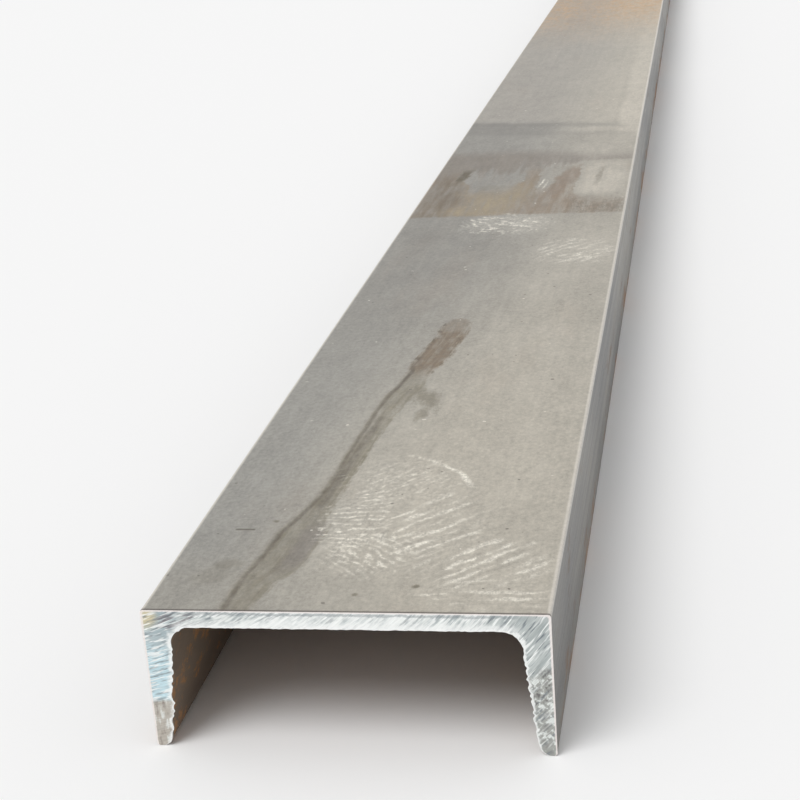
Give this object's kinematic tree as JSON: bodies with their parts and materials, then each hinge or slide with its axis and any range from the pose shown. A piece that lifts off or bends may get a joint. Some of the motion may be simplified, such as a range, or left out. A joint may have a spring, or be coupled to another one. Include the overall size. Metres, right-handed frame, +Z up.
{
  "type": "steel channel section",
  "caption": "Straight length of hot-rolled steel channel with a flat web, tapered flanges, root fillets and sawn ends, for framing and support beams.",
  "frame": {"origin": "middle of the length and the width, level with the toes of the flanges, on which the channel lies", "axes": "+X across the web, +Y along the length, away from the end that the picture shows, +Z up, out of the web's outer face"},
  "size_m": [0.2, 6, 0.075],
  "materials": {
    "rolled_steel": "dark mill scale on the rolled faces, bright sawn ends"
  },
  "bodies": {
    "root": {"channel": "rolled_steel"}
  },
  "joints": []
}
